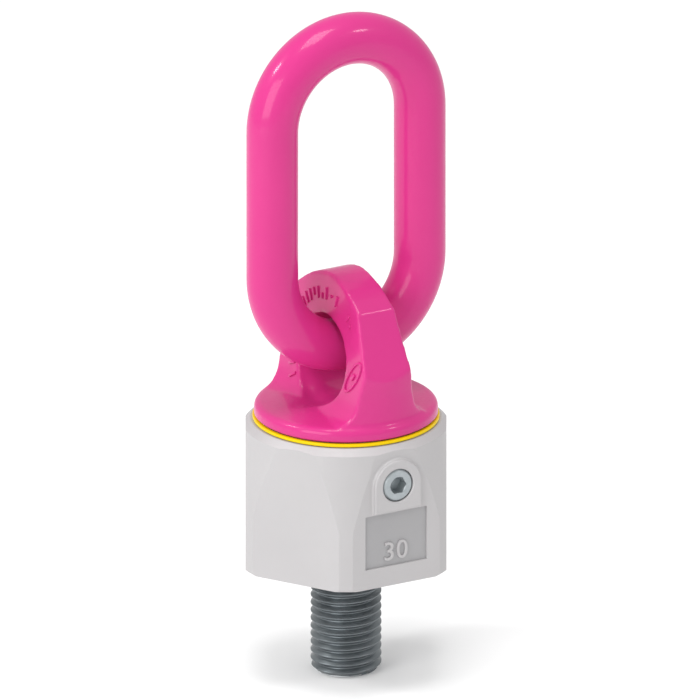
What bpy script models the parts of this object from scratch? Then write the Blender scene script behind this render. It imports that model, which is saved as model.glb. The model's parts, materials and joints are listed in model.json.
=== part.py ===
"""Swivel hoist ring with an M30 stud, as separate pieces in their working places.

Frame: +Z up along the thread, origin on the thread's axis in the plane where the housing seats.
The load link hangs in the XZ plane and swings about X. The plugged boss is on the -Y flat.
Sizes are in millimetres, and every mesh is brought to metres as it is made.
"""
import math

import bmesh
import bpy
from mathutils import Matrix, Vector

MM = 0.001
GAP = 0.3                        # clearance where two pieces meet

# Load link: an oblong ring of round bar
WIRE_R = 11.0
LINK_INNER_WIDTH = 50.0
LINK_INNER_LENGTH = 115.0
LINK_AXIS_Z = 95.0               # the bar's centre where it passes through the eye
LINK_BEND_R = LINK_INNER_WIDTH / 2 + WIRE_R
LINK_STRAIGHT = LINK_INNER_LENGTH - LINK_INNER_WIDTH
LINK_BEND_STEPS = 14

# Housing: a hexagon whose corners are turned away, and tapered towards the top
HEX_FLATS = 85.0
HOUSING_H = 62.2
CORNER_R = 47.5                  # turned radius of the corners
TAPER_START_Z = 26.0
TAPER_END_Z = 59.5
TAPER_END_R = 43.3
TOP_R = 40.5
FLOOR_T = 12.0
EDGE_BREAK = 0.8

# Flange and stem of the swivel head
FLANGE_Z = 64.3
FLANGE_R = 39.0
FLANGE_EDGE_Z = 67.2
FLANGE_TOP_Z = 70.0
FLANGE_ROUND = FLANGE_TOP_Z - FLANGE_EDGE_Z
MOUND = ((28.0, 71.0), (21.0, 72.6), (15.0, 74.5), (0, 74.5))    # the flange's rise towards the eye
STEM_R = 26.6
STEM_END_Z = 36.0
BORE_R = 27.4

# Eye: half widths (Y) and half thicknesses (X) of its sections, from the flange to the peak
EYE_SECTIONS = (
    (67.5, 34.5, 15.5),
    (73.0, 34.0, 15.0),
    (77.7, 34.2, 13.7),
    (84.0, 34.6, 12.3),
    (89.6, 36.0, 11.5),
    (98.0, 32.7, 10.2),
    (106.0, 29.4, 9.6),
    (117.0, 25.0, 8.6),
    (120.8, 20.0, 8.4),
    (123.9, 14.6, 8.2),
    (126.2, 8.6, 8.0),
    (127.5, 3.4, 7.9),
)
EYE_CORNER = 2.0                 # how far the sections' corners are cut back
EYE_HOLE_Z = 91.0
EYE_HOLE_R = 18.0
EYE_MOUTH_R = 3.5                # rounding of the hole's mouths
EYE_MOUTH_X = 7.0                # where that rounding starts, from the middle
EYE_CUT_X = 30.0                 # reach of the hole's cutter, past the eye's faces

# Ball rows: the upper one carries the side load, the lower one holds the head in
LOWER_BALLS = 16
LOWER_BALL_R = 5.0
LOWER_PITCH_R = 27.0
LOWER_ROW_Z = 45.0
UPPER_BALLS = 22
UPPER_BALL_R = 4.0
UPPER_PITCH_R = 31.5
UPPER_ROW_Z = 62.15
RACE_FACE_Z = 60.0               # recessed face of the housing under the upper row
RACE_OUTER_R = 36.6
RACE_STEPS = 6                   # chords of each ball race

# Seals
SEAL_INNER_R = 37.0
SEAL_OUTER_R = 39.6
SEAL_T = 1.5
GREASE_SEAL_Z = 54.0
GREASE_SEAL_R = 25.7
GREASE_SEAL_BAR_R = 1.4
GREASE_GROOVE_R = 24.0
GREASE_GROOVE_HALF = 1.8

# Boss on the -Y flat, with the plug that closes the hole the lower balls go in by
BOSS_FACE_Y = -44.5
BOSS_R = 11.3
BOSS_END_Z = 34.0
BOSS_ROOT_Y = -36.0              # how deep the boss's body starts, inside the housing
PLUG_R = 7.0
PLUG_DEPTH = 8.2
PLUG_CHAMFER = 0.9
SOCKET_FLATS = 7.0
SOCKET_DEPTH = 5.0
LOADING_HOLE_R = 5.4
LOADING_START = 28.0             # the loading hole runs from the ball race
LOADING_END = 50.0               # to clear of the boss
OVERLAP = 0.5                    # how far joined bodies reach into each other
STOPPER_L = 3.4

# Shallow pocket for the size mark, under the boss
POCKET_HALF_W = 15.0
POCKET_LOW_Z = 8.8
POCKET_HIGH_Z = 32.7
POCKET_DEPTH = 0.9

# Stud bolt, M30 x 3.5
THREAD_R = 15.0
PITCH = 3.5
THREAD_DEPTH = 0.6134 * PITCH
CREST = PITCH / 8
THREAD_TOP_Z = 5.0
STUD_END_Z = -50.5
STUD_CHAMFER = 2.0
THREAD_SEGMENTS = 20
SHANK_R = 14.4
STUD_HOLE_R = 15.5
HEAD_FLATS = 46.0
HEAD_H = 18.7
HEAD_POCKET_FLATS = 46.6

# Retaining ring above the bolt head, and the disc that keeps the grease off it
RING_INNER_R = 24.0
RING_OUTER_R = 28.9
RING_T = 1.5
RING_GROOVE_R = 29.2
RING_MOUTH = math.radians(40)
DISC_R = 27.0
DISC_T = 1.6

TURNED = 40                      # segments of the large turned pieces
SMALL_TURNED = 24

PINK = (0.80, 0.062, 0.29)
STEEL_GREY = (0.62, 0.615, 0.61)
YELLOW = (0.95, 0.68, 0.0)
ZINC = (0.50, 0.54, 0.55)
BLUED = (0.062, 0.08, 0.085)
BRIGHT = (0.70, 0.70, 0.70)
RUBBER = (0.02, 0.02, 0.02)


def clear_scene():
    """Start from an empty file."""
    for item in list(bpy.data.objects):
        bpy.data.objects.remove(item, do_unlink=True)


def finish_material(name, colour, roughness, metallic):
    """A plain Principled finish."""
    material = bpy.data.materials.new(name)
    material.use_nodes = True
    shader = material.node_tree.nodes["Principled BSDF"]
    shader.inputs["Base Color"].default_value = (*colour, 1.0)
    shader.inputs["Roughness"].default_value = roughness
    shader.inputs["Metallic"].default_value = metallic
    return material


def mesh_from(name, solid):
    """Close a bmesh in millimetres into a mesh in metres, with its faces pointing out."""
    bmesh.ops.remove_doubles(solid, verts=solid.verts, dist=0.001)
    bmesh.ops.recalc_face_normals(solid, faces=solid.faces)
    bmesh.ops.scale(solid, vec=(MM, MM, MM), verts=solid.verts)
    mesh = bpy.data.meshes.new(name)
    solid.to_mesh(mesh)
    solid.free()
    mesh.shade_smooth()
    mesh.set_sharp_from_angle(angle=math.radians(32))
    return mesh


def place(name, mesh, material=None, location=(0, 0, 0), parent=None):
    """Put a mesh or curve in the scene, at a location given in millimetres."""
    item = bpy.data.objects.new(name, mesh)
    bpy.context.scene.collection.objects.link(item)
    item.location = Vector(location) * MM
    item.parent = parent
    if material:
        item.data.materials.append(material)
    return item


def axis_empty(name, height):
    """An empty on the thread's axis, for what turns about it."""
    empty = bpy.data.objects.new(name, None)
    bpy.context.scene.collection.objects.link(empty)
    empty.location = (0, 0, height * MM)
    return empty


def boolean(target, operation, mesh, label):
    """Cut or join a target with a hidden helper body."""
    helper = place(f"helper_{label}", mesh)
    helper.hide_render = True
    helper.display_type = "WIRE"
    modifier = target.modifiers.new(label, "BOOLEAN")
    modifier.operation = operation
    modifier.solver = "EXACT"
    modifier.object = helper


def arc(centre, radius, start, end, steps):
    """Points of an arc, angles in degrees."""
    points = []
    for step in range(steps + 1):
        angle = math.radians(start + (end - start) * step / steps)
        points.append((centre[0] + radius * math.cos(angle), centre[1] + radius * math.sin(angle)))
    return points


def turned(name, profile, segments=TURNED, toward=None):
    """Turn a closed profile of (radius, height) about +Z, or about another direction."""
    solid = bmesh.new()
    corners = [solid.verts.new((radius, 0, height)) for radius, height in profile]
    edges = [solid.edges.new((corners[i - 1], corners[i])) for i in range(len(corners))]
    bmesh.ops.spin(solid, geom=corners + edges, axis=(0, 0, 1), cent=(0, 0, 0),
                   angle=math.tau, steps=segments, use_merge=True)
    bmesh.ops.remove_doubles(solid, verts=solid.verts, dist=0.001)
    bmesh.ops.dissolve_degenerate(solid, edges=solid.edges, dist=0.001)
    if toward:
        turn = Vector((0, 0, 1)).rotation_difference(Vector(toward)).to_matrix()
        bmesh.ops.rotate(solid, verts=solid.verts, matrix=turn, cent=(0, 0, 0))
    return mesh_from(name, solid)


def lofted(name, sections):
    """Skin a row of equal-sized loops and cap both ends."""
    solid = bmesh.new()
    loops = [[solid.verts.new(point) for point in section] for section in sections]
    count = len(loops[0])
    for low, high in zip(loops, loops[1:]):
        for i in range(count):
            solid.faces.new((low[i - 1], low[i], high[i], high[i - 1]))
    solid.faces.new(reversed(loops[0]))
    solid.faces.new(loops[-1])
    return mesh_from(name, solid)


def hexagon(flats, height, first_corner=0.0):
    """Corners of a hexagon across flats, at one height."""
    radius = flats / math.sqrt(3)
    corners = []
    for i in range(6):
        angle = math.radians(first_corner + 60 * i)
        corners.append((radius * math.cos(angle), radius * math.sin(angle), height))
    return corners


def hex_prism(name, flats, low, high):
    """A hexagon prism along Z, with corners on +X and -X."""
    return lofted(name, [hexagon(flats, low), hexagon(flats, high)])


def box_y(name, half_width, low_z, high_z, front_y, back_y):
    """A box on the -Y side."""
    sections = []
    for y in (front_y, back_y):
        sections.append([(-half_width, y, low_z), (half_width, y, low_z),
                         (half_width, y, high_z), (-half_width, y, high_z)])
    return lofted(name, sections)


def load_link(material):
    """The oblong ring: two bends and two straight legs of round bar."""
    curve = bpy.data.curves.new("load_link", "CURVE")
    curve.dimensions = "3D"
    curve.bevel_depth = WIRE_R * MM
    curve.bevel_resolution = 6
    path = arc((0, LINK_BEND_R), LINK_BEND_R, 180, 360, LINK_BEND_STEPS)
    path += arc((0, LINK_BEND_R + LINK_STRAIGHT), LINK_BEND_R, 0, 180, LINK_BEND_STEPS)
    spline = curve.splines.new("POLY")
    spline.points.add(len(path) - 1)
    for point, (x, z) in zip(spline.points, path):
        point.co = (x * MM, 0, z * MM, 1)
    spline.use_cyclic_u = True
    spline.use_smooth = True
    place("load_link", curve, material, (0, 0, LINK_AXIS_Z))


def eye_section(height, half_width, half_thickness):
    """A rectangle with cut corners."""
    inner_x = half_thickness - EYE_CORNER
    inner_y = max(half_width - EYE_CORNER, half_width / 2)
    return [(half_thickness, -inner_y, height), (half_thickness, inner_y, height),
            (inner_x, half_width, height), (-inner_x, half_width, height),
            (-half_thickness, inner_y, height), (-half_thickness, -inner_y, height),
            (-inner_x, -half_width, height), (inner_x, -half_width, height)]


def swivel_head(material):
    """The forged eye, its flange and its stem, in one piece."""
    eye = lofted("swivel_head", [eye_section(*row) for row in EYE_SECTIONS])
    head = place("swivel_head", eye, material)

    stem = [(0, STEM_END_Z), (STEM_R - 1, STEM_END_Z), (STEM_R, STEM_END_Z + 1)]
    reach = math.degrees(math.acos((LOWER_PITCH_R - STEM_R) / (LOWER_BALL_R + GAP)))
    stem += arc((LOWER_PITCH_R, LOWER_ROW_Z), LOWER_BALL_R + GAP, 180 + reach, 180 - reach, RACE_STEPS)
    for height in (GREASE_SEAL_Z - GREASE_GROOVE_HALF, GREASE_SEAL_Z + GREASE_GROOVE_HALF):
        pair = [(STEM_R, height), (GREASE_GROOVE_R, height)]
        stem += pair if height < GREASE_SEAL_Z else reversed(pair)
    stem.append((STEM_R, FLANGE_Z))
    reach = math.degrees(math.asin((FLANGE_Z - UPPER_ROW_Z) / (UPPER_BALL_R + GAP)))
    stem += arc((UPPER_PITCH_R, UPPER_ROW_Z), UPPER_BALL_R + GAP, 180 - reach, reach, RACE_STEPS)
    stem.append((FLANGE_R - EDGE_BREAK, FLANGE_Z))
    stem.append((FLANGE_R, FLANGE_Z + EDGE_BREAK))
    stem += arc((FLANGE_R - FLANGE_ROUND, FLANGE_EDGE_Z), FLANGE_ROUND, 0, 90, 4)
    stem += MOUND
    boolean(head, "UNION", turned("flange_and_stem", stem), "flange_and_stem")

    far = EYE_CUT_X
    mouth = arc((EYE_HOLE_R + EYE_MOUTH_R, EYE_MOUTH_X), EYE_MOUTH_R, 180, 105, 3)
    half = mouth + [(mouth[-1][0] + 2.5, mouth[-1][1] + 1.5), (mouth[-1][0] + 2.5, far)]
    hole = [(0, far)] + half[::-1] + [(radius, -height) for radius, height in half] + [(0, -far)]
    cutter = turned("eye_hole", hole, 32, toward=(1, 0, 0))
    cutter.transform(Matrix.Translation((0, 0, EYE_HOLE_Z * MM)))
    boolean(head, "DIFFERENCE", cutter, "eye_hole")


def housing(material):
    """The hexagon body with its bore, ball races, bolt pocket and boss."""
    body = place("housing", hex_prism("housing", HEX_FLATS, 0, HOUSING_H), material)
    top_chamfer = HOUSING_H - TAPER_END_Z
    envelope = [(0, -GAP), (CORNER_R - EDGE_BREAK - GAP, -GAP), (CORNER_R, EDGE_BREAK),
                (CORNER_R, TAPER_START_Z), (TAPER_END_R, TAPER_END_Z),
                (TOP_R - GAP, HOUSING_H + GAP * top_chamfer / (TAPER_END_R - TOP_R)),
                (0, HOUSING_H + GAP)]
    boolean(body, "INTERSECT", turned("turned_corners", envelope), "turned_corners")

    disc = [(0, -BOSS_ROOT_Y), (BOSS_R, -BOSS_ROOT_Y), (BOSS_R, -BOSS_FACE_Y - EDGE_BREAK),
            (BOSS_R - EDGE_BREAK, -BOSS_FACE_Y), (0, -BOSS_FACE_Y)]
    boss_disc = turned("boss_disc", disc, SMALL_TURNED, toward=(0, -1, 0))
    boss_disc.transform(Matrix.Translation((0, 0, LOWER_ROW_Z * MM)))
    boolean(body, "UNION", boss_disc, "boss_disc")
    top = LOWER_ROW_Z + OVERLAP
    foot = [(-BOSS_R, BOSS_END_Z), (BOSS_R, BOSS_END_Z), (BOSS_R, top), (-BOSS_R, top)]
    outer = [(x, BOSS_FACE_Y + EDGE_BREAK, z) for x, z in foot]
    inner = [(x, BOSS_ROOT_Y, z) for x, z in foot]
    inset = BOSS_R - EDGE_BREAK
    face = [(-inset, BOSS_FACE_Y, BOSS_END_Z + EDGE_BREAK), (inset, BOSS_FACE_Y, BOSS_END_Z + EDGE_BREAK),
            (inset, BOSS_FACE_Y, top), (-inset, BOSS_FACE_Y, top)]
    boolean(body, "UNION", lofted("boss_foot", [face, outer, inner]), "boss_foot")

    ring_low = FLOOR_T + HEAD_H + 2 * GAP
    ring_high = ring_low + RING_T + GAP
    bore = [(0, ring_low), (RING_GROOVE_R, ring_low), (RING_GROOVE_R, ring_high), (BORE_R, ring_high)]
    reach = math.degrees(math.acos((BORE_R - LOWER_PITCH_R) / (LOWER_BALL_R + GAP)))
    bore += arc((LOWER_PITCH_R, LOWER_ROW_Z), LOWER_BALL_R + GAP, -reach, reach, RACE_STEPS)
    bore.append((BORE_R, RACE_FACE_Z))
    reach = math.degrees(math.asin((UPPER_ROW_Z - RACE_FACE_Z) / (UPPER_BALL_R + GAP)))
    bore += arc((UPPER_PITCH_R, UPPER_ROW_Z), UPPER_BALL_R + GAP, 180 + reach, 360 - reach, RACE_STEPS)
    bore += [(RACE_OUTER_R, RACE_FACE_Z), (RACE_OUTER_R, HOUSING_H + 5), (0, HOUSING_H + 5)]
    boolean(body, "DIFFERENCE", turned("bore", bore), "bore")

    bolt_pocket = hex_prism("bolt_pocket", HEAD_POCKET_FLATS, FLOOR_T, ring_low + OVERLAP)
    boolean(body, "DIFFERENCE", bolt_pocket, "bolt_pocket")
    stud_hole = [(0, -1), (STUD_HOLE_R, -1), (STUD_HOLE_R, FLOOR_T + 1), (0, FLOOR_T + 1)]
    boolean(body, "DIFFERENCE", turned("stud_hole", stud_hole), "stud_hole")

    seat = -BOSS_FACE_Y - PLUG_DEPTH - GAP
    hole_r = PLUG_R + GAP
    loading = [(0, LOADING_START), (LOADING_HOLE_R, LOADING_START), (LOADING_HOLE_R, seat), (hole_r, seat),
               (hole_r, -BOSS_FACE_Y - 1), (hole_r + 1, -BOSS_FACE_Y),
               (hole_r + 1, LOADING_END), (0, LOADING_END)]
    loading_hole = turned("loading_hole", loading, SMALL_TURNED, toward=(0, -1, 0))
    loading_hole.transform(Matrix.Translation((0, 0, LOWER_ROW_Z * MM)))
    boolean(body, "DIFFERENCE", loading_hole, "loading_hole")

    flat_y = -HEX_FLATS / 2
    pocket = box_y("size_pocket", POCKET_HALF_W, POCKET_LOW_Z, POCKET_HIGH_Z,
                   flat_y - 3, flat_y + POCKET_DEPTH)
    boolean(body, "DIFFERENCE", pocket, "size_pocket")


def seal_ring(material):
    """The ring that closes the gap between housing and flange."""
    low = HOUSING_H + GAP
    high = low + SEAL_T
    profile = [(SEAL_INNER_R, low), (SEAL_OUTER_R, low), (SEAL_OUTER_R, high), (SEAL_INNER_R, high)]
    place("seal_ring", turned("seal_ring", profile), material)


def grease_seal(material):
    """The round-section seal in the stem's groove."""
    section = arc((GREASE_SEAL_R, GREASE_SEAL_Z), GREASE_SEAL_BAR_R, 0, 360, 8)[:-1]
    place("grease_seal", turned("grease_seal", section, 36), material)


def plug_and_stopper(plug_material, pin_material):
    """The socket plug in the boss, and the pin behind it that completes the ball race."""
    face = -BOSS_FACE_Y - GAP
    end = face - PLUG_DEPTH + GAP
    profile = [(0, end), (PLUG_R - PLUG_CHAMFER, end), (PLUG_R, end + PLUG_CHAMFER),
               (PLUG_R, face - PLUG_CHAMFER), (PLUG_R - PLUG_CHAMFER, face), (0, face)]
    mesh = turned("plug_screw", profile, SMALL_TURNED, toward=(0, -1, 0))
    plug = place("plug_screw", mesh, plug_material, (0, 0, LOWER_ROW_Z))
    loops = []
    for y in (-face - 1, -face + SOCKET_DEPTH):
        loops.append([(x, y, z + LOWER_ROW_Z) for x, z, _ in hexagon(SOCKET_FLATS, 0)])
    boolean(plug, "DIFFERENCE", lofted("plug_socket", loops), "plug_socket")

    start = end - GAP
    pin_r = LOADING_HOLE_R - GAP
    pin = [(0, start - STOPPER_L), (pin_r, start - STOPPER_L), (pin_r, start), (0, start)]
    mesh = turned("ball_stopper", pin, SMALL_TURNED, toward=(0, -1, 0))
    place("ball_stopper", mesh, pin_material, (0, 0, LOWER_ROW_Z))


def thread_mesh(low, high):
    """A right-hand thread wound up the axis and cut flat at both ends."""
    flank = THREAD_DEPTH * math.tan(math.radians(30))
    root_r = THREAD_R - THREAD_DEPTH
    profile = [(THREAD_R, 0), (THREAD_R, CREST), (root_r, CREST + flank),
               (root_r, PITCH - flank), (THREAD_R, PITCH)]
    turns = math.ceil((high - low) / PITCH) + 3
    start = low - 2 * PITCH
    solid = bmesh.new()
    corners = [solid.verts.new((radius, 0, start + height)) for radius, height in profile]
    edges = [solid.edges.new(pair) for pair in zip(corners, corners[1:])]
    bmesh.ops.spin(solid, geom=corners + edges, axis=(0, 0, 1), cent=(0, 0, 0),
                   dvec=(0, 0, PITCH / THREAD_SEGMENTS), angle=math.tau * turns,
                   steps=turns * THREAD_SEGMENTS)
    bmesh.ops.remove_doubles(solid, verts=solid.verts, dist=0.01)
    for height, outward in ((low, -1), (high, 1)):
        everything = solid.verts[:] + solid.edges[:] + solid.faces[:]
        bmesh.ops.bisect_plane(solid, geom=everything, dist=0.001, plane_co=(0, 0, height),
                               plane_no=(0, 0, outward), clear_outer=True)
        rim = [edge for edge in solid.edges if edge.is_boundary and
               all(abs(vert.co.z - height) < 0.01 for vert in edge.verts)]
        bmesh.ops.contextual_create(solid, geom=rim)
    return mesh_from("stud_bolt", solid)


def stud_bolt(material):
    """The hexagon-headed bolt whose thread is the ring's stud."""
    bolt = place("stud_bolt", thread_mesh(STUD_END_Z, THREAD_TOP_Z), material)
    clear = THREAD_R + 1
    point_r = THREAD_R - STUD_CHAMFER
    envelope = [(0, STUD_END_Z - 1), (point_r - 1, STUD_END_Z - 1), (clear, STUD_END_Z + STUD_CHAMFER + 1),
                (clear, THREAD_TOP_Z + 1), (0, THREAD_TOP_Z + 1)]
    boolean(bolt, "INTERSECT", turned("stud_point", envelope, THREAD_SEGMENTS), "stud_point")
    head_z = FLOOR_T + GAP
    shank = [(0, THREAD_TOP_Z - 2), (SHANK_R, THREAD_TOP_Z - 2), (SHANK_R, head_z + 1), (0, head_z + 1)]
    boolean(bolt, "UNION", turned("bolt_shank", shank, THREAD_SEGMENTS), "bolt_shank")
    boolean(bolt, "UNION", hex_prism("bolt_head", HEAD_FLATS, head_z, head_z + HEAD_H), "bolt_head")


def retaining_ring(material):
    """The open spring ring that holds the bolt down in its pocket."""
    low = FLOOR_T + HEAD_H + 3 * GAP
    high = low + RING_T
    steps = 32
    sections = []
    for step in range(steps + 1):
        angle = RING_MOUTH / 2 + (math.tau - RING_MOUTH) * step / steps
        across = ((RING_INNER_R, low), (RING_OUTER_R, low), (RING_OUTER_R, high), (RING_INNER_R, high))
        spots = [(radius * math.cos(angle), radius * math.sin(angle), height) for radius, height in across]
        sections.append(spots)
    place("bolt_retaining_ring", lofted("bolt_retaining_ring", sections), material)


def cover_disc(material):
    """The disc between the bolt and the stem."""
    low = FLOOR_T + HEAD_H + 2 * GAP + RING_T + 2 * GAP
    profile = [(0, low), (DISC_R, low), (DISC_R, low + DISC_T), (0, low + DISC_T)]
    place("bolt_cover_disc", turned("bolt_cover_disc", profile), material)


def ball_row(prefix, count, ball_r, pitch_r, height, material):
    """A ring of balls under one empty on the swivel axis."""
    axis = axis_empty(f"{prefix}_axis", height)
    ball = bmesh.new()
    bmesh.ops.create_icosphere(ball, subdivisions=2, radius=ball_r)
    mesh = mesh_from(f"{prefix}_ball", ball)
    mesh.materials.append(material)
    for i in range(count):
        angle = math.tau * i / count
        spot = (pitch_r * math.cos(angle), pitch_r * math.sin(angle), 0)
        place(f"{prefix}_ball_{i + 1:02d}", mesh, None, spot, axis)


def build():
    """Make every piece."""
    clear_scene()
    coat = finish_material("pink_powder_coat", PINK, 0.35, 0.0)
    steel = finish_material("satin_steel", STEEL_GREY, 0.45, 0.6)
    load_link(coat)
    swivel_head(coat.copy())
    seal_ring(finish_material("yellow_plastic", YELLOW, 0.4, 0.0))
    grease_seal(finish_material("black_rubber", RUBBER, 0.7, 0.0))
    housing(steel)
    zinc = finish_material("zinc_plate", ZINC, 0.35, 0.8)
    plug_and_stopper(zinc, finish_material("pin_steel", BRIGHT, 0.3, 1.0))
    stud_bolt(finish_material("blued_steel", BLUED, 0.45, 0.6))
    retaining_ring(finish_material("spring_steel", BLUED, 0.4, 0.8))
    cover_disc(finish_material("disc_steel", BRIGHT, 0.4, 1.0))
    balls = finish_material("ball_steel", BRIGHT, 0.15, 1.0)
    ball_row("lower", LOWER_BALLS, LOWER_BALL_R, LOWER_PITCH_R, LOWER_ROW_Z, balls)
    ball_row("upper", UPPER_BALLS, UPPER_BALL_R, UPPER_PITCH_R, UPPER_ROW_Z, balls)


build()
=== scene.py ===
"""Looks of the swivel hoist ring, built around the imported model.

Sizes are in millimetres and turn into metres as each mesh is made. The frame is the model's own:
+Z up the thread, the seat plane at zero, the link in the XZ plane and the plugged boss on the -Y flat.
"""
import json
import math

import bmesh
import bpy
from mathutils import Matrix, Vector


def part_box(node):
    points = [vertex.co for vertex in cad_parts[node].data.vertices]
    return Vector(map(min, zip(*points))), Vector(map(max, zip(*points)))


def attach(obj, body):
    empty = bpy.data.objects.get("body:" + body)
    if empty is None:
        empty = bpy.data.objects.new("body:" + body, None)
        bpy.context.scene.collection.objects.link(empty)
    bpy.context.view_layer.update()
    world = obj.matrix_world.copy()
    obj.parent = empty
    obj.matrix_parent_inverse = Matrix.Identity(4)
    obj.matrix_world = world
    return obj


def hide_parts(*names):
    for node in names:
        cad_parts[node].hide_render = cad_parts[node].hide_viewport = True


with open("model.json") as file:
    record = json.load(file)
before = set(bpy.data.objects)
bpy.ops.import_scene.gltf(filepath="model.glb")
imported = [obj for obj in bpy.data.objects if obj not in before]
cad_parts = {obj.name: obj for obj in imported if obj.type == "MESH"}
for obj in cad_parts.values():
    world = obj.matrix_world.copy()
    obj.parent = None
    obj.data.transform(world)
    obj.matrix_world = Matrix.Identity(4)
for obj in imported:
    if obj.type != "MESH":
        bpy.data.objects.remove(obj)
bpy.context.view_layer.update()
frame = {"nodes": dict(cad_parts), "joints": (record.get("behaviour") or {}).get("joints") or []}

MM = 0.001
UP = Vector((0, 0, 1))


def node_box(node):
    """A node's lowest and highest corners, in millimetres."""
    low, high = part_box(node)
    return Vector(low) / MM, Vector(high) / MM


def joint_height(name):
    """The height of a joint's axis, in millimetres."""
    return next(joint["pos_m"][2] for joint in frame["joints"] if joint["name"] == name) / MM


# ---------------------------------------------------------------- sizes read from the frame
link_low, link_high = node_box("load_link")
housing_low, housing_high = node_box("housing")
head_low, head_high = node_box("swivel_head")
seal_low, seal_high = node_box("seal_ring")
stud_low = node_box("stud_bolt")[0]
plug_low, plug_high = node_box("plug_screw")

WIRE_R = (link_high.y - link_low.y) / 2
LINK_BEND_R = (link_high.x - link_low.x) / 2 - WIRE_R
LINK_STRAIGHT = link_high.z - link_low.z - 2 * (LINK_BEND_R + WIRE_R)
LINK_AXIS_Z = joint_height("link_swing")

HOUSING_H = housing_high.z
HEX_FLATS = 2 * housing_high.y
CORNER_R = housing_high.x
BOSS_Y = -housing_low.y
BOSS_Z = (plug_low.z + plug_high.z) / 2
PLUG_R = (plug_high.x - plug_low.x) / 2
PLUG_FACE = -plug_low.y
PLUG_END = -plug_high.y
STUD_END_Z = stud_low.z
FLANGE_R = head_high.x
STEM_END_Z = head_low.z

# ---------------------------------------------------------------- other sizes
FLOOR_T = 12.0
TAPER_START_Z = 26.0
TAPER_END_Z = 59.5
TAPER_END_R = 43.3
TOP_R = 40.5
BORE_R = 27.4
RACE_FACE_Z = 60.0
RACE_OUTER_R = 36.6
STUD_HOLE_R = 15.5
HEAD_FLATS = 46.0
HEAD_H = 18.7
POCKET_FLATS = 46.6
RING_GROOVE_R = 29.2
RING_GROOVE_T = 1.8
PLAY = 0.3
BORE_FLOOR_Z = FLOOR_T + HEAD_H + 2 * PLAY
HOUSING_EDGE = 0.4
SHANK_R = 14.4

FLANGE_Z = 64.3
SEAL_LIP_Z = FLANGE_Z - 0.25
SEAL_LIP_T = 0.7
SEAL_INNER_R = 37.0
SEAL_DROP = 0.2
FLANGE_EDGE_Z = 67.2
FLANGE_ROUND = 2.8
STEM_R = 26.6
FORGING_VOXEL = 0.7
FORGING_ROUNDS = 6

LOWER_ROW = (27.0, 45.0, 5.0)     # pitch radius, height, ball radius
UPPER_ROW = (31.5, 62.15, 4.0)
GREASE_SEAL_Z = 54.0
GREASE_GROOVE_R = 24.0
GREASE_GROOVE_HALF = 1.8

THREAD_R = 15.0
PITCH = 3.5
THREAD_DEPTH = 0.6134 * PITCH
THREAD_TOP_Z = 5.0
CREST_EASE = 0.12
ROOT_EASE = 0.04

BOSS_R = 11.3
BOSS_FOOT_Z = 33.6
BOSS_COVE = 1.1
BOSS_RIM = 0.8
LOADING_HOLE_R = 5.4
SOCKET_FLATS = 7.0
SOCKET_DEPTH = 5.0
PLUG_CHAMFER = 0.7

POCKET_HALF_W = 15.0
POCKET_LOW_Z = 8.8
POCKET_HIGH_Z = 32.7
POCKET_DEPTH = 0.9
NUMERAL_H = 11.6
NUMERAL_BASE_Z = 11.4
NUMERAL_T = 0.6

EYE_HOLE_Z = 91.0

ROUND = 128                        # segments of the large turned pieces

VIEW_AZIMUTH = -30
VIEW_ELEVATION = 20
VIEW_CENTRE_Z = 92.04
VIEW_SHIFT = 1.69
VIEW_WIDTH = 0.29592               # metres across the view

# Eye sections from the flange to the peak: height, half width (Y), half thickness (X)
EYE_SECTIONS = (
    (66.0, 40.0, 24.0),
    (70.6, 40.0, 21.0),
    (72.0, 40.0, 18.0),
    (74.0, 40.0, 15.8),
    (76.6, 40.0, 14.5),
    (80.0, 40.0, 13.6),
    (84.0, 40.0, 12.9),
    (89.6, 37.2, 12.0),
    (98.0, 33.4, 10.9),
    (106.0, 30.1, 10.1),
    (117.4, 25.6, 9.1),
    (121.0, 20.4, 8.8),
    (124.2, 14.9, 8.5),
    (126.5, 9.4, 8.2),
    (127.9, 4.6, 8.0),
    (128.2, 1.6, 7.9),
)


# ---------------------------------------------------------------- mesh helpers
def mesh_from(name, solid, sharp=35.0, repair=True):
    """Turn a bmesh in millimetres into a smooth-shaded mesh in metres."""
    if repair:
        bmesh.ops.remove_doubles(solid, verts=solid.verts, dist=0.001)
        bmesh.ops.recalc_face_normals(solid, faces=solid.faces)
    bmesh.ops.scale(solid, vec=(MM, MM, MM), verts=solid.verts)
    mesh = bpy.data.meshes.new(name)
    solid.to_mesh(mesh)
    solid.free()
    mesh.shade_smooth()
    mesh.set_sharp_from_angle(angle=math.radians(sharp))
    return mesh


def put(name, mesh):
    """Link a mesh into the scene as an object at the origin."""
    item = bpy.data.objects.new(name, mesh)
    bpy.context.scene.collection.objects.link(item)
    return item


def carve(target, operation, tool_mesh):
    """Join, cut or intersect a piece with a tool body, and keep the result."""
    tool = put("tool", tool_mesh)
    modifier = target.modifiers.new("carve", "BOOLEAN")
    modifier.operation = operation
    modifier.solver = "EXACT"
    modifier.object = tool
    settle(target)
    bpy.data.objects.remove(tool, do_unlink=True)


def settle(item, sharp=35.0):
    """Apply an object's modifiers."""
    graph = bpy.context.evaluated_depsgraph_get()
    mesh = bpy.data.meshes.new_from_object(item.evaluated_get(graph))
    item.modifiers.clear()
    item.data = mesh
    mesh.shade_smooth()
    mesh.set_sharp_from_angle(angle=math.radians(sharp))


def finish_piece(item, material, body, node=None):
    """Give a piece its finish and the body it rides on, and hide the node it stands in for."""
    item.data.materials.clear()
    item.data.materials.append(material)
    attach(item, body)
    if node:
        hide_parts(node)
    return item


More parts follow.
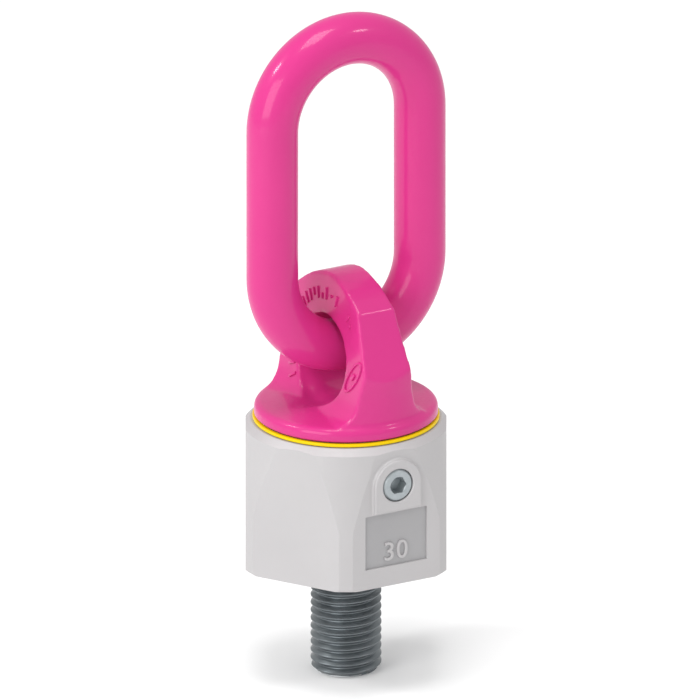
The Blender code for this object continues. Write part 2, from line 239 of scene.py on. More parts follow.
def arc(centre, radius, start, end, steps):
    """Points of an arc, angles in degrees."""
    points = []
    for step in range(steps + 1):
        angle = math.radians(start + (end - start) * step / steps)
        points.append((centre[0] + radius * math.cos(angle), centre[1] + radius * math.sin(angle)))
    return points


def turned(profile, segments=ROUND, toward=None, centre=(0, 0, 0)):
    """Spin a closed profile of (radius, height) about +Z, or about another direction."""
    solid = bmesh.new()
    corners = [solid.verts.new((radius, 0, height)) for radius, height in profile]
    edges = [solid.edges.new((corners[i - 1], corners[i])) for i in range(len(corners))]
    bmesh.ops.spin(solid, geom=corners + edges, axis=UP, cent=(0, 0, 0),
                   angle=math.tau, steps=segments, use_merge=True)
    bmesh.ops.remove_doubles(solid, verts=solid.verts, dist=0.001)
    bmesh.ops.dissolve_degenerate(solid, edges=solid.edges, dist=0.001)
    if toward:
        turn = UP.rotation_difference(Vector(toward)).to_matrix()
        bmesh.ops.rotate(solid, verts=solid.verts, matrix=turn, cent=(0, 0, 0))
    bmesh.ops.translate(solid, verts=solid.verts, vec=centre)
    return solid


def block(low, high):
    """A box between two corners."""
    low, high = Vector(low), Vector(high)
    solid = bmesh.new()
    bmesh.ops.create_cube(solid, size=1.0)
    bmesh.ops.scale(solid, vec=high - low, verts=solid.verts)
    bmesh.ops.translate(solid, vec=(low + high) / 2, verts=solid.verts)
    return solid


def hex_bar(flats, low, high, toward=None, centre=(0, 0, 0)):
    """A hexagon bar along Z between two heights, with corners on +X and -X, or turned another way."""
    solid = bmesh.new()
    bmesh.ops.create_cone(solid, cap_ends=True, segments=6, radius1=flats / math.sqrt(3),
                          radius2=flats / math.sqrt(3), depth=high - low)
    bmesh.ops.translate(solid, vec=(0, 0, (low + high) / 2), verts=solid.verts)
    corner = max(solid.verts, key=lambda vert: vert.co.x)
    bmesh.ops.rotate(solid, verts=solid.verts, cent=(0, 0, 0),
                     matrix=Matrix.Rotation(-math.atan2(corner.co.y, corner.co.x), 3, "Z"))
    if toward:
        turn = UP.rotation_difference(Vector(toward)).to_matrix()
        bmesh.ops.rotate(solid, verts=solid.verts, matrix=turn, cent=(0, 0, 0))
    bmesh.ops.translate(solid, verts=solid.verts, vec=centre)
    return solid


def race(row, start, end, steps=16):
    """The arc of a ball race, with its running clearance."""
    pitch_r, height, ball_r = row
    return arc((pitch_r, height), ball_r + PLAY, start, end, steps)


# ---------------------------------------------------------------- materials
def new_group(name, inputs, outputs):
    """An empty shader node group with named sockets."""
    group = bpy.data.node_groups.new(name, "ShaderNodeTree")
    for label, kind, value in inputs:
        socket = group.interface.new_socket(label, in_out="INPUT", socket_type=kind)
        socket.default_value = value
    for label, kind in outputs:
        group.interface.new_socket(label, in_out="OUTPUT", socket_type=kind)
    return group, group.nodes.new("NodeGroupInput"), group.nodes.new("NodeGroupOutput")


def noise(group, coordinates, scale_from, detail, roughness):
    """A noise texture whose scale comes from a socket."""
    node = group.nodes.new("ShaderNodeTexNoise")
    node.inputs["Detail"].default_value = detail
    node.inputs["Roughness"].default_value = roughness
    group.links.new(coordinates, node.inputs["Vector"])
    group.links.new(scale_from, node.inputs["Scale"])
    return node.outputs["Fac"]


def spread(group, value, low, high, low_from=None, high_from=None):
    """Map a noise value, mostly between 0.3 and 0.7, to a range."""
    node = group.nodes.new("ShaderNodeMapRange")
    node.inputs["From Min"].default_value = 0.3
    node.inputs["From Max"].default_value = 0.7
    node.inputs["To Min"].default_value = low
    node.inputs["To Max"].default_value = high
    group.links.new(value, node.inputs["Value"])
    if low_from:
        group.links.new(low_from, node.inputs["To Min"])
    if high_from:
        group.links.new(high_from, node.inputs["To Max"])
    return node.outputs["Result"]


def blend(group, factor, first, second):
    """Mix two colours."""
    node = group.nodes.new("ShaderNodeMix")
    node.data_type = "RGBA"
    group.links.new(factor, node.inputs["Factor"])
    group.links.new(first, node.inputs["A"])
    group.links.new(second, node.inputs["B"])
    return node.outputs["Result"]


def worn_surface_group():
    """Tone, roughness and height that drift over a surface."""
    group, given, out = new_group(
        "worn_surface",
        (("Tone", "NodeSocketColor", (1, 1, 1, 1)), ("Second Tone", "NodeSocketColor", (1, 1, 1, 1)),
         ("Patch Scale", "NodeSocketFloat", 40.0),
         ("Grain Scale", "NodeSocketFloat", 900.0), ("Smooth", "NodeSocketFloat", 0.3),
         ("Rough", "NodeSocketFloat", 0.4), ("Stretch", "NodeSocketVector", (1, 1, 1))),
        (("Color", "NodeSocketColor"), ("Roughness", "NodeSocketFloat"), ("Height", "NodeSocketFloat")))
    place = group.nodes.new("ShaderNodeTexCoord")
    stretch = group.nodes.new("ShaderNodeVectorMath")
    stretch.operation = "MULTIPLY"
    group.links.new(place.outputs["Object"], stretch.inputs[0])
    group.links.new(given.outputs["Stretch"], stretch.inputs[1])
    patches = noise(group, place.outputs["Object"], given.outputs["Patch Scale"], 4.0, 0.55)
    grain = noise(group, stretch.outputs["Vector"], given.outputs["Grain Scale"], 3.0, 0.6)
    drift = spread(group, patches, 0.0, 1.0)
    color = blend(group, drift, given.outputs["Tone"], given.outputs["Second Tone"])
    group.links.new(color, out.inputs["Color"])

    both = group.nodes.new("ShaderNodeMath")
    both.operation = "ADD"
    group.links.new(spread(group, patches, -0.3, 0.3), both.inputs[0])
    group.links.new(grain, both.inputs[1])
    roughness = spread(group, both.outputs["Value"], 0.3, 0.4,
                       given.outputs["Smooth"], given.outputs["Rough"])
    group.links.new(roughness, out.inputs["Roughness"])
    group.links.new(grain, out.inputs["Height"])
    return group


WORN = worn_surface_group()


def finish(name, tone, second, smooth, rough, metallic=0.0, coat=0.0, coat_roughness=0.1, specular=0.5,
           patch=40.0, grain=900.0, bump=0.1, bump_depth=0.02, stretch=(1, 1, 1)):
    """A Principled finish whose tone, roughness and fine relief come from the shared surface group."""
    material = bpy.data.materials.new(name)
    material.use_nodes = True
    tree = material.node_tree
    shader = tree.nodes["Principled BSDF"]
    shader.inputs["Metallic"].default_value = metallic
    shader.inputs["Coat Weight"].default_value = coat
    shader.inputs["Coat Roughness"].default_value = coat_roughness
    shader.inputs["Specular IOR Level"].default_value = specular
    surface = tree.nodes.new("ShaderNodeGroup")
    surface.node_tree = WORN
    surface.inputs["Tone"].default_value = (*tone, 1)
    surface.inputs["Second Tone"].default_value = (*second, 1)
    surface.inputs["Patch Scale"].default_value = patch
    surface.inputs["Grain Scale"].default_value = grain
    surface.inputs["Smooth"].default_value = smooth
    surface.inputs["Rough"].default_value = rough
    surface.inputs["Stretch"].default_value = stretch
    relief = tree.nodes.new("ShaderNodeBump")
    relief.inputs["Strength"].default_value = bump
    relief.inputs["Distance"].default_value = bump_depth * MM
    tree.links.new(surface.outputs["Color"], shader.inputs["Base Color"])
    tree.links.new(surface.outputs["Roughness"], shader.inputs["Roughness"])
    tree.links.new(surface.outputs["Height"], relief.inputs["Height"])
    tree.links.new(relief.outputs["Normal"], shader.inputs["Normal"])
    return material


PINK_COAT = finish("pink_powder_coat", (0.575, 0.026, 0.205), (0.605, 0.031, 0.218),
                   0.32, 0.42, coat=0.38, coat_roughness=0.10, specular=0.15,
                   patch=18.0, grain=700.0, bump=0.25, bump_depth=0.03)
HOUSING_STEEL = finish("satin_housing_steel", (0.445, 0.433, 0.438), (0.470, 0.458, 0.463),
                       0.42, 0.52, metallic=0.1, patch=25.0, grain=500.0, bump=0.25, bump_depth=0.02)
# Darker steel for the size pocket's floor: its darker tone is painted shade in the recess; its rougher
# grain and relief are the surface's own.
POCKET_STEEL_PAINTED_SHADE = finish("rough_pocket_steel_painted_shade", (0.335, 0.330, 0.338), (0.360, 0.355, 0.362),
                      0.5, 0.6, metallic=0.1, patch=30.0, grain=700.0, bump=0.4, bump_depth=0.03)
PLUG_ZINC = finish("zinc_plated_plug", (0.33, 0.365, 0.38), (0.41, 0.445, 0.46),
                   0.30, 0.45, metallic=0.6, patch=300.0, grain=2500.0, bump=0.3, bump_depth=0.02)
STUD_STEEL = finish("phosphated_stud_steel", (0.150, 0.168, 0.178), (0.200, 0.222, 0.234),
                    0.30, 0.42, metallic=0.85, patch=120.0, grain=1500.0, bump=0.35, bump_depth=0.02)
# Lighter steel for the stud's end face and the foot of its chamfer: a painted reflection of the pale
# floor.
STUD_END_PAINTED_REFLECTION = finish("stud_end_painted_reflection", (0.50, 0.52, 0.53), (0.58, 0.60, 0.61),
                       0.3, 0.4, metallic=0.7, patch=200.0, grain=1200.0)
SEAL_YELLOW = finish("yellow_seal_plastic", (0.84, 0.59, 0.001), (0.79, 0.55, 0.001),
                     0.35, 0.45, specular=0.15, patch=60.0, grain=1500.0)
# Black rubber: the grease seal's own colour, and painted shade on the seal ring's lip, where it stands for
# the dark gap under the flange.
RUBBER_AND_GAP_SHADE = finish("black_rubber_and_painted_gap_shade", (0.018, 0.018, 0.018), (0.03, 0.03, 0.03),
                     0.55, 0.7, patch=200.0, grain=1800.0)
BALL_STEEL = finish("polished_ball_steel", (0.62, 0.62, 0.63), (0.68, 0.68, 0.69),
                    0.08, 0.14, metallic=1.0, patch=300.0, grain=2000.0, bump=0.05)
PIN_STEEL = finish("ground_pin_steel", (0.52, 0.52, 0.53), (0.60, 0.60, 0.61),
                   0.22, 0.34, metallic=1.0, patch=200.0, grain=900.0, stretch=(1, 6, 1))
SPRING_STEEL = finish("oiled_spring_steel", (0.07, 0.075, 0.08), (0.11, 0.115, 0.12),
                      0.28, 0.42, metallic=0.8, patch=150.0, grain=1200.0)


# ---------------------------------------------------------------- load link
def load_link():
    """Round bar spun into two bends, with two straight legs between them."""
    solid = bmesh.new()
    ring = bmesh.ops.create_circle(solid, segments=56, radius=WIRE_R)["verts"]
    bmesh.ops.translate(solid, verts=ring, vec=(-LINK_BEND_R, 0, LINK_AXIS_Z + LINK_BEND_R))
    edges = list({edge for vert in ring for edge in vert.link_edges})
    for middle, rise in ((LINK_AXIS_Z + LINK_BEND_R + LINK_STRAIGHT, LINK_STRAIGHT),
                         (LINK_AXIS_Z + LINK_BEND_R, -LINK_STRAIGHT)):
        for _ in range(4):
            grown = bmesh.ops.extrude_edge_only(solid, edges=edges)["geom"]
            edges = [item for item in grown if isinstance(item, bmesh.types.BMEdge)]
            verts = [item for item in grown if isinstance(item, bmesh.types.BMVert)]
            bmesh.ops.translate(solid, verts=verts, vec=(0, 0, rise / 4))
        swept = bmesh.ops.spin(solid, geom=verts + edges, axis=(0, 1, 0), cent=(0, 0, middle),
                               angle=math.pi, steps=56)["geom_last"]
        edges = [item for item in swept if isinstance(item, bmesh.types.BMEdge)]
    item = put("oblong_link", mesh_from("oblong_link", solid))
    finish_piece(item, PINK_COAT, "link", "load_link")


# ---------------------------------------------------------------- swivel head
def eye_plate():
    """A tapering slab, extruded section by section up to its peak."""
    height, half_width, half_thickness = EYE_SECTIONS[0]
    solid = block((-half_thickness, -half_width, height - 4), (half_thickness, half_width, height))
    top = max(solid.faces, key=lambda face: face.calc_center_median().z)
    for next_height, next_width, next_thickness in EYE_SECTIONS[1:]:
        grown = bmesh.ops.extrude_face_region(solid, geom=[top])["geom"]
        bmesh.ops.delete(solid, geom=[top], context="FACES_ONLY")
        verts = [item for item in grown if isinstance(item, bmesh.types.BMVert)]
        top = [item for item in grown if isinstance(item, bmesh.types.BMFace)][0]
        bmesh.ops.translate(solid, verts=verts, vec=(0, 0, next_height - height))
        bmesh.ops.scale(solid, verts=verts,
                        vec=(next_thickness / half_thickness, next_width / half_width, 1))
        height, half_width, half_thickness = next_height, next_width, next_thickness
    return solid


def forging_blank():
    """The eye on its flange, as sharp-edged solids joined."""
    blank = put("swivel_head_forging", mesh_from("swivel_head_forging", eye_plate()))
    reach = [(0, 55), (36.6, 55), (36.6, 71.5), (36.3, 76), (36.2, 82), (37.2, 89.5), (37.6, 95),
             (37.6, 140), (0, 140)]
    carve(blank, "INTERSECT", mesh_from("reach", turned(reach)))
    flange = [(0, 58.0), (FLANGE_R, 58.0)]
    flange += arc((FLANGE_R - FLANGE_ROUND, FLANGE_EDGE_Z), FLANGE_ROUND, 0, 84, 8)
    flange += [(33.0, 70.3), (28.0, 70.9), (22.0, 71.6), (16.0, 72.3), (0, 74.0)]
    carve(blank, "UNION", mesh_from("flange", turned(flange)))
    side = [(18.0, 5.5), (18.3, 8.0), (19.0, 10.5), (19.7, 12.5), (20.0, 14.5), (20.0, 40.0)]
    hole = [(0, 40)] + side[::-1] + [(radius, -height) for radius, height in side] + [(0, -40)]
    carve(blank, "DIFFERENCE", mesh_from("hole", turned(hole, 96, (1, 0, 0), (0, 0, EYE_HOLE_Z))))
    return blank


def soften(item, voxel, rounds):
    """Remesh a blank evenly and relax it, which leaves a forging's rounded edges and fillets."""
    remesh = item.modifiers.new("remesh", "REMESH")
    remesh.mode = "VOXEL"
    remesh.voxel_size = voxel * MM
    settle(item)
    solid = bmesh.new()
    solid.from_mesh(item.data)
    for _ in range(rounds):
        bmesh.ops.smooth_vert(solid, verts=solid.verts, factor=0.5,
                              use_axis_x=True, use_axis_y=True, use_axis_z=True)
    solid.to_mesh(item.data)
    solid.free()


def stem_profile():
    """The stem with its lower ball race and its seal groove."""
    pitch_r, _, ball_r = LOWER_ROW
    reach = math.degrees(math.acos((pitch_r - STEM_R) / (ball_r + PLAY)))
    profile = [(0, STEM_END_Z), (STEM_R - 1, STEM_END_Z), (STEM_R, STEM_END_Z + 1)]
    profile += race(LOWER_ROW, 180 + reach, 180 - reach)
    low, high = GREASE_SEAL_Z - GREASE_GROOVE_HALF, GREASE_SEAL_Z + GREASE_GROOVE_HALF
    profile += [(STEM_R, low), (GREASE_GROOVE_R, low), (GREASE_GROOVE_R, high), (STEM_R, high)]
    profile += [(STEM_R, FLANGE_Z + 1.0), (0, FLANGE_Z + 1.0)]
    return profile


def swivel_head():
    """The forging, with its underside and its stem machined."""
    head = forging_blank()
    soften(head, FORGING_VOXEL, FORGING_ROUNDS)
    _, height, ball_r = UPPER_ROW
    reach = math.degrees(math.asin((FLANGE_Z - height) / (ball_r + PLAY)))
    under = [(0, 50), (50, 50), (50, FLANGE_Z + 1.0)]
    under += [(FLANGE_R + 0.3, FLANGE_Z + 1.0), (FLANGE_R - 0.7, FLANGE_Z)]
    under += race(UPPER_ROW, reach, 180 - reach) + [(0, FLANGE_Z)]
    carve(head, "DIFFERENCE", mesh_from("under", turned(under)))
    carve(head, "UNION", mesh_from("stem", turned(stem_profile())))
    finish_piece(head, PINK_COAT, "head", "swivel_head")


def face_at(height):
    """How far the eye's face stands from its middle, at one height."""
    for (low, _, low_t), (high, _, high_t) in zip(EYE_SECTIONS, EYE_SECTIONS[1:]):
        if low <= height <= high:
            return low_t + (high_t - low_t) * (height - low) / (high - low)
    return EYE_SECTIONS[-1][2]


def raised_bar(solid, y, z, length, width, angle, side):
    """One raised bar on a face of the eye, its length turned from Z towards Y."""
    made = bmesh.ops.create_cube(solid, size=1.0)["verts"]
    bmesh.ops.scale(solid, verts=made, vec=(1.5, width, length))
    edges = list({edge for vert in made for edge in vert.link_edges})
    rounded = bmesh.ops.bevel(solid, geom=made + edges, affect="EDGES", offset=0.28, segments=2,
                              profile=0.5, material=-1, clamp_overlap=True)
    kept = {vert for vert in made if vert.is_valid}
    verts = list({vert for face in rounded["faces"] for vert in face.verts} | kept)
    turn = Matrix.Rotation(math.radians(-angle), 3, "X")
    bmesh.ops.rotate(solid, verts=verts, matrix=turn, cent=(0, 0, 0))
    lean = math.atan2(face_at(z - 2) - face_at(z + 2), 4.0)
    bmesh.ops.rotate(solid, verts=verts, matrix=Matrix.Rotation(-side * lean, 3, "Y"), cent=(0, 0, 0))
    bmesh.ops.translate(solid, verts=verts, vec=(side * (face_at(z) + 0.02), y, z))


def raised_ring(solid, y, z, half_length, half_width, angle, side):
    """An oval of small raised bars."""
    steps = 20
    for i in range(steps):
        turn = math.tau * (i + 0.5) / steps
        along, across = half_length * math.cos(turn), half_width * math.sin(turn)
        slope = math.degrees(math.atan2(half_width * math.cos(turn), -half_length * math.sin(turn)))
        lean = math.radians(angle)
        spot_y = y + along * math.sin(lean) + across * math.cos(lean)
        spot_z = z + along * math.cos(lean) - across * math.sin(lean)
        step = math.hypot(half_length * math.sin(turn), half_width * math.cos(turn)) * math.tau / steps
        raised_bar(solid, spot_y, spot_z, step + 0.6, 0.95, angle + slope, side)


def head_marks():
    """Plain raised ticks round the eye, and an oval with a dot."""
    solid = bmesh.new()
    for side in (-1, 1):
        for turn, inner, outer in ((44, 24.2, 28.8), (37, 24.4, 29.6), (30, 24.6, 29.8), (23, 26.4, 29.9),
                                   (16, 25.0, 30.2), (9, 25.0, 27.6), (2, 25.2, 30.6), (-7, 27.4, 28.6),
                                   (-16, 25.4, 30.4), (-39, 27.0, 31.2), (-46, 27.2, 29.0),
                                   (112, 21.6, 26.4), (124, 21.8, 26.6), (100, 28.6, 32.0)):
            angle = math.radians(turn)
            middle = (inner + outer) / 2
            raised_bar(solid, -side * middle * math.sin(angle), EYE_HOLE_Z + middle * math.cos(angle),
                       outer - inner, 1.15, -side * turn, side)
        raised_ring(solid, side * 26.9, 90.4, 8.4, 3.0, side * 34, side)
        raised_bar(solid, side * 26.9, 90.4, 3.2, 1.6, side * 34, side)
    item = put("head_raised_marks", mesh_from("head_raised_marks", solid))
    finish_piece(item, PINK_COAT, "head")


# ---------------------------------------------------------------- housing
def housing_bore():
    """Everything turned out of the housing from above."""
    groove_top = BORE_FLOOR_Z + RING_GROOVE_T
    pitch_r, _, ball_r = LOWER_ROW
    reach = math.degrees(math.acos((BORE_R - pitch_r) / (ball_r + PLAY)))
    profile = [(0, BORE_FLOOR_Z), (RING_GROOVE_R, BORE_FLOOR_Z)]
    profile += [(RING_GROOVE_R, groove_top), (BORE_R, groove_top)]
    profile += race(LOWER_ROW, -reach, reach)
    profile.append((BORE_R, RACE_FACE_Z))
    reach = math.degrees(math.asin((UPPER_ROW[1] - RACE_FACE_Z) / (UPPER_ROW[2] + PLAY)))
    profile += race(UPPER_ROW, 180 + reach, 360 - reach)
    profile += [(RACE_OUTER_R, RACE_FACE_Z), (RACE_OUTER_R, HOUSING_H + 5), (0, HOUSING_H + 5)]
    return turned(profile)


def boss_outline(grow):
    """Corners of the boss's outline, an arch on straight sides, grown by an amount."""
    radius = BOSS_R + grow
    points = []
    for angle in range(90, -91, -5):
        turn = math.radians(angle)
        points.append((radius * math.sin(turn), BOSS_Z + radius * math.cos(turn)))
    return points + [(-radius, BOSS_FOOT_Z - grow), (radius, BOSS_FOOT_Z - grow)]


def boss_blank():
    """The raised boss, with a cove at its root and a rounded rim."""
    flat = HEX_FLATS / 2
    stand = BOSS_Y - flat
    steps = 5
    solid = bmesh.new()
    front = solid.faces.new([solid.verts.new((x, -flat, z)) for x, z in boss_outline(BOSS_COVE)])
    back = bmesh.ops.extrude_face_region(solid, geom=[front], use_keep_orig=True)["geom"]
    back_verts = [item for item in back if isinstance(item, bmesh.types.BMVert)]
    bmesh.ops.translate(solid, verts=back_verts, vec=(0, 3, 0))
    bmesh.ops.recalc_face_normals(solid, faces=solid.faces)
    moves = []
    for step in range(steps):
        start, end = (math.radians(90 * i / steps) for i in (step, step + 1))
        moves.append((BOSS_COVE * (math.sin(end) - math.sin(start)),
                      BOSS_COVE * (math.cos(start) - math.cos(end))))
    moves.append((0.0, stand - BOSS_COVE - BOSS_RIM))
    for step in range(steps):
        start, end = (math.radians(90 * i / steps) for i in (step, step + 1))
        moves.append((BOSS_RIM * (math.cos(start) - math.cos(end)),
                      BOSS_RIM * (math.sin(end) - math.sin(start))))
    for inward, outward in moves:
        if inward:
            bmesh.ops.inset_region(solid, faces=[front], thickness=inward, depth=outward,
                                   use_even_offset=True)
        elif outward > 0:
            grown = bmesh.ops.extrude_face_region(solid, geom=[front])["geom"]
            bmesh.ops.delete(solid, geom=[front], context="FACES_ONLY")
            front = [item for item in grown if isinstance(item, bmesh.types.BMFace)][0]
            bmesh.ops.translate(solid, verts=front.verts, vec=(0, -outward, 0))
    return solid


def housing():
    """The hexagon body with its boss, its size pocket and everything bored in it."""
    body = put("housing_body", mesh_from("housing_body", hex_bar(HEX_FLATS, 0, HOUSING_H)))
    envelope = [(0, -1), (CORNER_R - 1.9, -1), (CORNER_R, 0.9), (CORNER_R, TAPER_START_Z)]
    envelope += [(TAPER_END_R, TAPER_END_Z), (TOP_R, HOUSING_H)]
    envelope += [(TOP_R, HOUSING_H + 1), (0, HOUSING_H + 1)]
    carve(body, "INTERSECT", mesh_from("envelope", turned(envelope)))
    flat = HEX_FLATS / 2
    carve(body, "UNION", mesh_from("boss", boss_blank()))
    pocket_floor = -flat + POCKET_DEPTH
    pocket = block((-POCKET_HALF_W, -flat - 1, POCKET_LOW_Z), (POCKET_HALF_W, pocket_floor, POCKET_HIGH_Z))
    carve(body, "DIFFERENCE", mesh_from("pocket", pocket))

    bevel = body.modifiers.new("edges", "BEVEL")
    bevel.width = HOUSING_EDGE * MM
    bevel.segments = 2
    bevel.limit_method = "ANGLE"
    bevel.angle_limit = math.radians(18)
    settle(body)

    carve(body, "DIFFERENCE", mesh_from("bore", housing_bore()))
    bolt_pocket = hex_bar(POCKET_FLATS, FLOOR_T, BORE_FLOOR_Z + 0.5)
    carve(body, "DIFFERENCE", mesh_from("bolt_pocket", bolt_pocket))
    stud_hole = [(0, -2), (STUD_HOLE_R + 2.6, -2), (STUD_HOLE_R, 0.6)]
    stud_hole += [(STUD_HOLE_R, FLOOR_T + 1), (0, FLOOR_T + 1)]
    carve(body, "DIFFERENCE", mesh_from("stud_hole", turned(stud_hole)))
    hole_r = PLUG_R + PLAY
    loading = [(0, 28), (LOADING_HOLE_R, 28), (LOADING_HOLE_R, PLUG_END - PLAY), (hole_r, PLUG_END - PLAY),
               (hole_r, BOSS_Y - 0.5), (hole_r + 1.5, BOSS_Y + 1), (0, BOSS_Y + 1)]
    carve(body, "DIFFERENCE", mesh_from("loading", turned(loading, 64, (0, -1, 0), (0, 0, BOSS_Z))))
    finish_piece(body, HOUSING_STEEL, "housing", "housing")
    # The pocket floor takes the darker steel, painted shade of the recess.
    body.data.materials.append(POCKET_STEEL_PAINTED_SHADE)
    for face in body.data.polygons:
        middle = face.center / MM
        on_floor = abs(middle.y - pocket_floor) < 0.1 and abs(middle.x) < POCKET_HALF_W
        if face.normal.y < -0.9 and on_floor:
            face.material_index = 1
    even = body.modifiers.new("even_normals", "WEIGHTED_NORMAL")
    even.weight = 100
    even.keep_sharp = True


def size_mark():
    """The stud's nominal size as plain raised numerals in the pocket."""
    text = bpy.data.curves.new("size_mark", "FONT")
    text.body = "30"
    text.size = NUMERAL_H * MM
    text.align_x = "CENTER"
    text.extrude = NUMERAL_T * MM
    text.bevel_depth = 0.16 * MM
    text.bevel_resolution = 2
    text.offset = -0.10 * MM
    text.space_character = 1.08
    lettering = put("size_mark_curve", text)
    graph = bpy.context.evaluated_depsgraph_get()
    mesh = bpy.data.meshes.new_from_object(lettering.evaluated_get(graph))
    bpy.data.objects.remove(lettering, do_unlink=True)
    mesh.transform(Matrix.Rotation(math.radians(90), 4, "X"))
    mesh.transform(Matrix.Translation((0, (-HEX_FLATS / 2 + POCKET_DEPTH) * MM, NUMERAL_BASE_Z * MM)))
    solid = bmesh.new()
    solid.from_mesh(mesh)
    bmesh.ops.remove_doubles(solid, verts=solid.verts, dist=0.00001)
    bmesh.ops.recalc_face_normals(solid, faces=solid.faces)
    solid.to_mesh(mesh)
    solid.free()
    item = put("size_numerals", mesh)
    finish_piece(item, HOUSING_STEEL, "housing")


def plug_screw():
    """The flush socket plug."""
    profile = [(0, PLUG_END), (PLUG_R - 1, PLUG_END), (PLUG_R, PLUG_END + 1)]
    profile += [(PLUG_R, PLUG_FACE - PLUG_CHAMFER), (PLUG_R - PLUG_CHAMFER, PLUG_FACE), (0, PLUG_FACE)]
    plug = put("socket_plug", mesh_from("socket_plug", turned(profile, 96, (0, -1, 0), (0, 0, BOSS_Z))))
    mouth_r = SOCKET_FLATS / math.sqrt(3)
    socket = hex_bar(SOCKET_FLATS, PLUG_FACE - SOCKET_DEPTH, PLUG_FACE + 1, (0, -1, 0), (0, 0, BOSS_Z))
    carve(plug, "DIFFERENCE", mesh_from("socket", socket))
    lead = [(0, PLUG_FACE - 0.5), (mouth_r - 0.7, PLUG_FACE - 0.5), (mouth_r + 0.3, PLUG_FACE + 0.5),
            (0, PLUG_FACE + 0.5)]
    carve(plug, "DIFFERENCE", mesh_from("lead", turned(lead, 64, (0, -1, 0), (0, 0, BOSS_Z))))
    finish_piece(plug, PLUG_ZINC, "housing", "plug_screw")


def seal_ring():
    """The yellow ring under the flange, with a lip that shuts the gap in front of the balls; the lip is
    coloured black as painted shade of the gap under the flange.
    """
    inner, outer = SEAL_INNER_R, seal_high.x
    low, high = seal_low.z, seal_high.z - SEAL_DROP
    profile = [(inner, low), (outer - 0.2, low), (outer, low + 0.2), (outer, high - 0.35)]
    profile += [(outer - 0.1, high - 0.1), (outer - 0.35, high), (inner + 0.9, high)]
    profile += [(inner + SEAL_LIP_T, SEAL_LIP_Z), (inner, SEAL_LIP_Z)]
    item = put("yellow_seal_ring", mesh_from("yellow_seal_ring", turned(profile)))
    finish_piece(item, SEAL_YELLOW, "housing", "seal_ring")
    # The lip's faces take the black: painted shade of the gap under the flange.
    item.data.materials.append(RUBBER_AND_GAP_SHADE)
    for face in item.data.polygons:
        if face.center.z > (high + 0.05) * MM:
            face.material_index = 1


# ---------------------------------------------------------------- stud bolt
def thread_mesh(low, high):
    """A right-hand thread wound up the axis, with its crests and roots eased, cut flat at both ends."""
    per_turn = 72
    root_r = THREAD_R - THREAD_DEPTH
    crest = PITCH / 16
    flank = THREAD_DEPTH * math.tan(math.radians(30))
    profile = [(THREAD_R - CREST_EASE, -crest - 0.1), (THREAD_R, -crest + 0.05),
               (THREAD_R, crest - 0.05), (THREAD_R - CREST_EASE, crest + 0.1)]
    profile += [(root_r + 0.25, crest + flank - 0.15), (root_r + ROOT_EASE, crest + flank + 0.12),
                (root_r, PITCH / 2),
                (root_r + ROOT_EASE, PITCH - crest - flank - 0.12),
                (root_r + 0.25, PITCH - crest - flank + 0.15),
                (THREAD_R - CREST_EASE, PITCH - crest - 0.1)]
    turns = math.ceil((high - low) / PITCH) + 3
    start = low - 2 * PITCH
    solid = bmesh.new()
    corners = [solid.verts.new((radius, 0, start + height)) for radius, height in profile]
    edges = [solid.edges.new(pair) for pair in zip(corners, corners[1:])]
    bmesh.ops.spin(solid, geom=corners + edges, axis=UP, cent=(0, 0, 0), dvec=(0, 0, PITCH / per_turn),
                   angle=math.tau * turns, steps=turns * per_turn)
    bmesh.ops.remove_doubles(solid, verts=solid.verts, dist=0.01)
    for height, outward in ((low, -1), (high, 1)):
        everything = solid.verts[:] + solid.edges[:] + solid.faces[:]
        bmesh.ops.bisect_plane(solid, geom=everything, dist=0.0001, plane_co=(0, 0, height),
                               plane_no=(0, 0, outward), clear_outer=True)
        rim = [edge for edge in solid.edges if edge.is_boundary and
               all(abs(vert.co.z - height) < 0.01 for vert in edge.verts)]
        bmesh.ops.contextual_create(solid, geom=rim)
    return solid


def stud_bolt():
    """The hexagon-headed bolt whose thread is the stud."""
    thread = thread_mesh(STUD_END_Z, THREAD_TOP_Z)
    bolt = put("threaded_stud_bolt", mesh_from("threaded_stud_bolt", thread))
    clear = THREAD_R + 1
    point = [(0, STUD_END_Z - 1), (THREAD_R - 3.2, STUD_END_Z - 1), (THREAD_R - 1.7, STUD_END_Z + 0.55),
             (THREAD_R - 1.5, STUD_END_Z + 1.0), (clear, STUD_END_Z + 3.0), (clear, THREAD_TOP_Z + 1),
             (0, THREAD_TOP_Z + 1)]
    carve(bolt, "INTERSECT", mesh_from("point", turned(point, 72)))
    under = FLOOR_T + PLAY
    top = under + HEAD_H
    shank = [(0, THREAD_TOP_Z - 2), (SHANK_R, THREAD_TOP_Z - 2), (SHANK_R, under + 1), (0, under + 1)]
    carve(bolt, "UNION", mesh_from("shank", turned(shank, 72)))
    head = put("bolt_head", mesh_from("bolt_head", hex_bar(HEAD_FLATS, under, top)))
    turned_off = [(0, under - 1), (30, under - 1), (30, top - 3.2), (HEAD_FLATS / 2 - 1, top), (0, top)]
    carve(head, "INTERSECT", mesh_from("turned_off", turned(turned_off, 72)))
    carve(bolt, "UNION", head.data.copy())
    bpy.data.objects.remove(head, do_unlink=True)
    finish_piece(bolt, STUD_STEEL, "housing", "stud_bolt")
    # The faces at the stud's lowest end take the lighter steel, a painted reflection of the pale floor.
    bolt.data.materials.append(STUD_END_PAINTED_REFLECTION)
    for face in bolt.data.polygons:
        if face.center.z < (STUD_END_Z + 0.55) * MM:
            face.material_index = 1


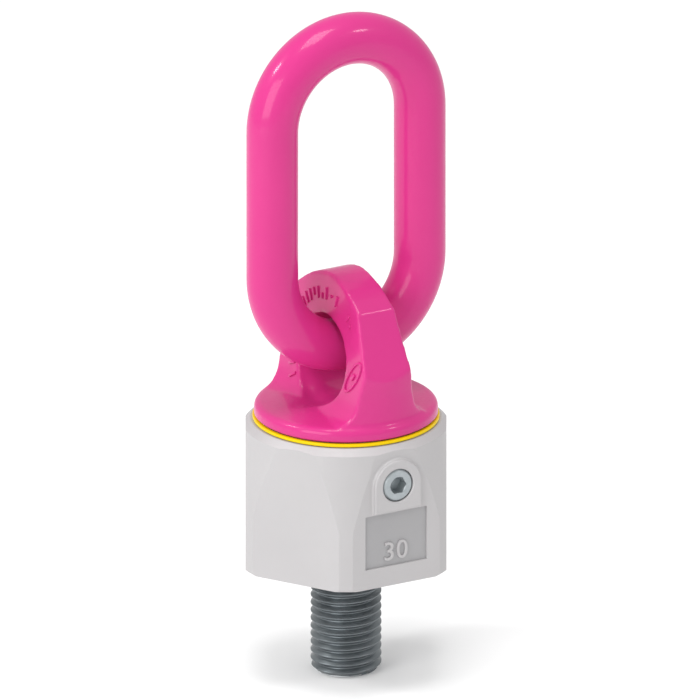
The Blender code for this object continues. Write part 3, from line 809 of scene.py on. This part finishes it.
# ---------------------------------------------------------------- inner pieces
def balls():
    """Smooth balls in place of the plain ones."""
    for node in sorted(frame["nodes"]):
        if "_ball_" not in node:
            continue
        low, high = node_box(node)
        row = LOWER_ROW if node.startswith("lower") else UPPER_ROW
        solid = bmesh.new()
        bmesh.ops.create_icosphere(solid, subdivisions=3, radius=row[2])
        middle = (low + high) / 2
        bmesh.ops.translate(solid, verts=solid.verts, vec=middle)
        name = f"polished_{node}"
        item = put(name, mesh_from(name, solid, sharp=80))
        finish_piece(item, BALL_STEEL, f"{node.split('_')[0]}_balls", node)


def refinish(node, material):
    """Give a kept node its finish."""
    mesh = frame["nodes"][node].data
    mesh.materials.clear()
    mesh.materials.append(material)


# ---------------------------------------------------------------- floor, light and camera
def stage_and_light():
    """A pale floor, a soft key from the upper left, a weaker fill, and an even surround."""
    floor = bmesh.new()
    bmesh.ops.create_circle(floor, cap_ends=True, segments=64, radius=4000)
    bmesh.ops.translate(floor, verts=floor.verts, vec=(0, 0, STUD_END_Z - 0.05))
    item = put("studio_floor", mesh_from("studio_floor", floor, repair=False))
    pale = bpy.data.materials.new("pale_floor")
    pale.use_nodes = True
    pale.node_tree.nodes["Principled BSDF"].inputs["Base Color"].default_value = (0.95, 0.95, 0.95, 1)
    pale.node_tree.nodes["Principled BSDF"].inputs["Roughness"].default_value = 0.8
    item.data.materials.append(pale)

    for name, watts, size, spot in (("key_softbox", 13.0, 1.1, (-1.62, -0.62, 0.7)),
                                    ("top_softbox", 13.0, 0.8, (-0.2, -0.2, 1.9)),
                                    ("back_softbox", 7.0, 0.3, (-1.2, 0.6, 1.3)),
                                    ("front_softbox", 3.0, 0.25, (0.9, -1.0, 1.35))):
        light = bpy.data.lights.new(name, "AREA")
        light.energy = watts
        light.size = size
        lamp = put(name, light)
        lamp.location = spot
        lamp.rotation_euler = (Vector((0, 0, 0.09)) - Vector(spot)).to_track_quat("-Z", "Y").to_euler()

    world = bpy.data.worlds.new("even_surround")
    world.use_nodes = True
    world.node_tree.nodes["Background"].inputs["Color"].default_value = (1, 1, 1, 1)
    world.node_tree.nodes["Background"].inputs["Strength"].default_value = 0.72
    bpy.context.scene.world = world
    bpy.context.scene.view_settings.view_transform = "Standard"


def camera():
    """A parallel view from the front left, a little above."""
    azimuth, elevation = math.radians(VIEW_AZIMUTH), math.radians(VIEW_ELEVATION)
    back = Vector((math.sin(azimuth) * math.cos(elevation), -math.cos(azimuth) * math.cos(elevation),
                   math.sin(elevation)))
    right = Vector((math.cos(azimuth), math.sin(azimuth), 0))
    target = Vector((0, 0, VIEW_CENTRE_Z)) * MM + right * VIEW_SHIFT * MM
    data = bpy.data.cameras.new("camera")
    data.type = "ORTHO"
    data.ortho_scale = VIEW_WIDTH
    data.clip_end = 20
    item = put("camera", data)
    item.location = target + back * 1.5
    item.rotation_euler = (-back).to_track_quat("-Z", "Y").to_euler()
    bpy.context.scene.camera = item


camera()
stage_and_light()
load_link()
swivel_head()
head_marks()
housing()
size_mark()
plug_screw()
seal_ring()
stud_bolt()
balls()
refinish("grease_seal", RUBBER_AND_GAP_SHADE)
refinish("ball_stopper", PIN_STEEL)
refinish("bolt_cover_disc", PIN_STEEL)
refinish("bolt_retaining_ring", SPRING_STEEL)
